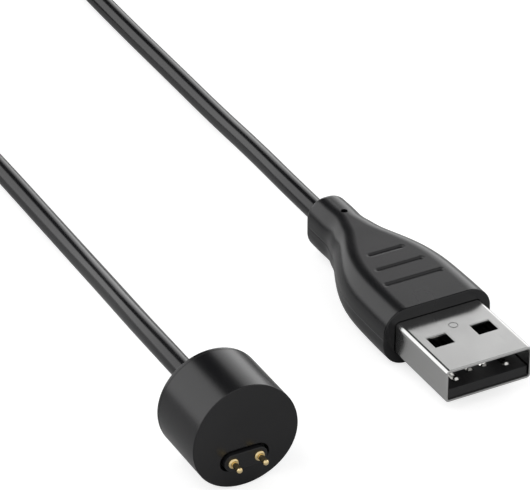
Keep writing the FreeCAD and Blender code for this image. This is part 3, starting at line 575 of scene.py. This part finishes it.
def varied(add, fac, low, high):
    """A number that follows a noise, from low to high."""
    span = {"From Min": NOISE_SPAN[0], "From Max": NOISE_SPAN[1], "To Min": low, "To Max": high}
    return add("ShaderNodeMapRange", Value=fac, **span).outputs["Result"]


def toned(add, fac, dark, light):
    """A colour that follows a noise, from dark to light."""
    ramp = add("ShaderNodeValToRGB", Fac=fac)
    for stop, position, colour in zip(ramp.color_ramp.elements, NOISE_SPAN, (dark, light)):
        stop.position = position
        stop.color = (*colour, 1.0)
    return ramp.outputs["Color"]


def bumped(add, links, shader, height, depth_mm, strength):
    """Fine relief on a shader's surface, from a noise or pattern."""
    bump = add("ShaderNodeBump", Height=height, Strength=strength, Distance=depth_mm * MM)
    links.new(bump.outputs["Normal"], shader.inputs["Normal"])


def moulded_plastic(name, dark, light, roughness, grain=9000, depth_mm=0.01):
    """Moulded plastic: a fine spark-eroded grain, faint flow marks in its tone, and uneven gloss."""
    material, shader, add, links = new_material(name)
    flow = stretched_noise(add, 160, (1, 0.35, 1), detail=3)
    fine = stretched_noise(add, grain, detail=3)
    links.new(toned(add, flow, dark, light), shader.inputs["Base Color"])
    links.new(varied(add, flow, roughness - 0.03, roughness + 0.03), shader.inputs["Roughness"])
    bumped(add, links, shader, fine, depth_mm, 0.25)
    return material


def plated_metal(name, dark, light, roughness, stretch=(1, 1, 1), scale=3000, depth_mm=0.004):
    """Plated metal with fine drawing or brushing marks along the axis with the smallest stretch."""
    material, shader, add, links = new_material(name)
    marks = stretched_noise(add, scale, stretch, detail=5, rough=0.6)
    clouds = stretched_noise(add, 220, detail=3)
    links.new(toned(add, marks, dark, light), shader.inputs["Base Color"])
    links.new(varied(add, clouds, roughness * 0.8, roughness * 1.2), shader.inputs["Roughness"])
    bumped(add, links, shader, marks, depth_mm, 0.3)
    shader.inputs["Metallic"].default_value = 1.0
    return material


def jacket_material():
    """The cord's extruded jacket: satin, with the die's faint lines along it and slight waves."""
    material, shader, add, links = new_material("jacket")
    surface = add("ShaderNodeTexCoord").outputs["UV"]
    along = add("ShaderNodeMapping", Vector=surface, Scale=(3.0, 90.0, 1.0))
    lines = add("ShaderNodeTexNoise", Vector=along.outputs["Vector"], Scale=1.0, Detail=3.0).outputs["Fac"]
    waves = stretched_noise(add, 90, detail=2)
    links.new(toned(add, waves, *BLACK), shader.inputs["Base Color"])
    links.new(varied(add, waves, 0.17, 0.21), shader.inputs["Roughness"])
    bumped(add, links, shader, lines, 0.01, 0.3)
    return material


def laminate_material():
    """Green solder mask over copper: paler where the tracks run under it."""
    material, shader, add, links = new_material("laminate")
    tracks = add("ShaderNodeTexBrick", Vector=add("ShaderNodeTexCoord").outputs["Object"], Scale=420.0,
                 Color1=(0.02, 0.16, 0.06, 1), Color2=(0.03, 0.20, 0.08, 1), Mortar=(0.06, 0.32, 0.12, 1))
    fine = stretched_noise(add, 4000)
    links.new(tracks.outputs["Color"], shader.inputs["Base Color"])
    links.new(varied(add, fine, 0.22, 0.34), shader.inputs["Roughness"])
    bumped(add, links, shader, tracks.outputs["Fac"], 0.02, 0.3)
    return material


BLACK = ((0.005, 0.005, 0.006), (0.008, 0.008, 0.009))


def make_materials():
    """Every material: those of the record's slots, the contact carrier's, and the shell stamp's."""
    housing = moulded_plastic("housing_plastic", *BLACK, 0.24)
    grip = moulded_plastic("grip_plastic", *BLACK, 0.25, grain=7000)
    block = moulded_plastic("block_plastic", (0.006, 0.006, 0.007), (0.010, 0.010, 0.011), 0.5)
    carrier = moulded_plastic("carrier_plastic", (0.012, 0.012, 0.013), (0.020, 0.020, 0.021), 0.5)
    natural = moulded_plastic("natural_plastic", (0.60, 0.59, 0.53), (0.72, 0.71, 0.66), 0.45)
    rubber = moulded_plastic("tie_rubber", (0.010, 0.010, 0.010), (0.018, 0.018, 0.018), 0.55, grain=5000)
    red = moulded_plastic("red_wire", (0.38, 0.012, 0.01), (0.50, 0.02, 0.015), 0.3)
    black_wire = moulded_plastic("black_wire", *BLACK, 0.3)
    nickel = plated_metal("shell_nickel", (0.60, 0.60, 0.595), (0.64, 0.64, 0.635), 0.22, (1, 0.03, 1),
                          12000, 0.001)
    tin = plated_metal("contact_plating", (0.78, 0.77, 0.74), (0.90, 0.89, 0.86), 0.1, (1, 0.05, 1), 6000)
    gold = plated_metal("pin_gold", (0.92, 0.70, 0.34), (1.0, 0.82, 0.48), 0.2, (1, 1, 1), 5000)
    brass = plated_metal("crimp_brass", (0.62, 0.43, 0.16), (0.78, 0.58, 0.26), 0.25, (1, 0.05, 1))
    steel = plated_metal("yoke_steel", (0.42, 0.43, 0.45), (0.58, 0.58, 0.60), 0.3, (1, 1, 0.05))
    spring = plated_metal("spring_steel", (0.50, 0.50, 0.49), (0.66, 0.65, 0.63), 0.22)
    magnet = plated_metal("magnet_plating", (0.66, 0.65, 0.62), (0.80, 0.79, 0.76), 0.12, (1, 1, 1), 900)
    solder = plated_metal("solder", (0.55, 0.56, 0.58), (0.74, 0.75, 0.76), 0.28, (1, 1, 1), 1500, 0.02)
    # The shell stamp's nickel is darker and duller than the shell's: painted shade, standing in for the
    # shade of the small pressed ring.
    painted_ring_shade = plated_metal("painted_ring_shade_nickel", (0.26, 0.26, 0.26), (0.36, 0.36, 0.355), 0.4)
    by_slot = {
        "dock_plastic": housing, "overmould_plastic": grip, "block_plastic": block,
        "inner_plastic": natural, "cord_jacket": jacket_material(), "tie_rubber": rubber,
        "crimp_brass": brass, "yoke_steel": steel, "board_laminate": laminate_material(),
        "solder": solder, "pin_gold": gold, "spring_steel": spring, "magnet_nickel": magnet,
        "red_insulation": red, "black_insulation": black_wire, "shell_nickel": nickel,
        "contact_nickel": tin,
    }
    return by_slot, carrier, painted_ring_shade


def paint(piece, material):
    """Gives every material slot of a piece the same material."""
    if not piece.material_slots:
        piece.data.materials.append(material)
    for slot in piece.material_slots:
        slot.material = material


# ---------------------------------------------------------------- floor and light
FLOOR_SIZE = 3.0
FLOOR_TONES = ((0.53, 0.53, 0.53), (0.56, 0.56, 0.56))
FLOOR_LIFT = 0.7


def make_floor():
    """A plain pale floor. Cameras see it nearly white; what it throws back on the object is greyer,
    as from a matt table under the softboxes."""
    bm = bmesh.new()
    half = FLOOR_SIZE / 2
    corners = ((-half, -half), (half, -half), (half, half), (-half, half))
    bm.faces.new([bm.verts.new((x, y, 0)) for x, y in corners])
    floor = link_mesh("floor", bm)
    material, shader, add, links = new_material("floor_paper")
    fibres = stretched_noise(add, 900, detail=3)
    links.new(toned(add, fibres, *FLOOR_TONES), shader.inputs["Base Color"])
    shader.inputs["Roughness"].default_value = 0.9
    shader.inputs["Specular IOR Level"].default_value = 0.0
    seen = add("ShaderNodeLightPath").outputs["Is Camera Ray"]
    lift = add("ShaderNodeMath", {"operation": "MULTIPLY"}, i0=seen, i1=FLOOR_LIFT)
    shader.inputs["Emission Color"].default_value = (1, 1, 1, 1)
    links.new(lift.outputs[0], shader.inputs["Emission Strength"])
    paint(floor, material)


# Brightness round the cable's own direction, which is Y: the angle from straight up towards +X, in
# degrees, and the light that comes from there. A dark gap parts the two long softboxes overhead.
LIGHT_BANDS = [(-90, 0.25), (-80, 1.6), (-14, 1.6), (-6, 0.02), (31, 0.02), (37, 0.85), (56, 1.55),
               (68, 2.1), (86, 2.1), (90, 0.5)]
LIGHT_MOST = 2.5
# The even fill in front, and the span of directions along Y in which the bands give way to it.
FRONT_LEVEL = 0.75
FRONT_BLEND = (-0.3, 0.2)
BACKGROUND = 0.985


def make_light():
    """A studio of two long softboxes over and beside the object, and an even fill in front."""
    world = bpy.data.worlds.new("studio")
    bpy.context.scene.world = world
    world.use_nodes = True
    nodes, links = world.node_tree.nodes, world.node_tree.links
    nodes.clear()

    def math_node(operation, first, second=None):
        node = nodes.new("ShaderNodeMath")
        node.operation = operation
        for socket, value in zip(node.inputs, (first, second)):
            if isinstance(value, bpy.types.NodeSocket):
                links.new(value, socket)
            elif value is not None:
                socket.default_value = value
        return node.outputs[0]

    split = nodes.new("ShaderNodeSeparateXYZ")
    links.new(nodes.new("ShaderNodeTexCoord").outputs["Generated"], split.inputs[0])
    angle = math_node("ARCTAN2", split.outputs["X"], split.outputs["Z"])
    share = math_node("ADD", math_node("DIVIDE", angle, math.pi), 0.5)
    ramp = nodes.new("ShaderNodeValToRGB")
    links.new(share, ramp.inputs["Fac"])
    stops = ramp.color_ramp.elements
    while len(stops) < len(LIGHT_BANDS):
        stops.new(0.5)
    for stop, (degrees, level) in zip(stops, LIGHT_BANDS):
        stop.position = degrees / 180 + 0.5
        stop.color = (*[level / LIGHT_MOST] * 3, 1.0)
    ahead = nodes.new("ShaderNodeMapRange")
    ahead.interpolation_type = "SMOOTHSTEP"
    links.new(split.outputs["Y"], ahead.inputs["Value"])
    for name, value in (("From Min", FRONT_BLEND[0]), ("From Max", FRONT_BLEND[1]),
                        ("To Min", 1.0), ("To Max", 0.0)):
        ahead.inputs[name].default_value = value
    bands = math_node("MULTIPLY", ramp.outputs["Color"], LIGHT_MOST)
    fill = math_node("SUBTRACT", FRONT_LEVEL, bands)
    level = math_node("ADD", bands, math_node("MULTIPLY", fill, ahead.outputs["Result"]))
    lit, seen = nodes.new("ShaderNodeBackground"), nodes.new("ShaderNodeBackground")
    lit.inputs["Color"].default_value = (1, 1, 1, 1)
    links.new(level, lit.inputs["Strength"])
    seen.inputs["Color"].default_value = (BACKGROUND, BACKGROUND, BACKGROUND, 1)
    mix, output = nodes.new("ShaderNodeMixShader"), nodes.new("ShaderNodeOutputWorld")
    links.new(nodes.new("ShaderNodeLightPath").outputs["Is Camera Ray"], mix.inputs["Fac"])
    links.new(lit.outputs[0], mix.inputs[1])
    links.new(seen.outputs[0], mix.inputs[2])
    links.new(mix.outputs[0], output.inputs["Surface"])


bpy.context.scene.view_settings.view_transform = "Standard"
make_camera()
make_light()
make_floor()
by_slot, carrier_plastic, painted_ring_shade_nickel = make_materials()

cord = make_cord()
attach(cord, "cable")
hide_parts("cord_dock_run", "cord_coil", "cord_plug_run")

for entry in frame["record"]["subparts"]:
    paint(frame["nodes"][entry["node"]], by_slot[entry["material_slot"]])
paint(frame["nodes"]["plug_contact_carrier"], carrier_plastic)
paint(cord, by_slot["cord_jacket"])
grip, tie, stamp = make_grip(), make_tie(), make_stamp()
paint(grip, by_slot["overmould_plastic"])
paint(tie, by_slot["tie_rubber"])
# The stamp gets the darker nickel, which paints the shade of the pressed ring.
paint(stamp, painted_ring_shade_nickel)
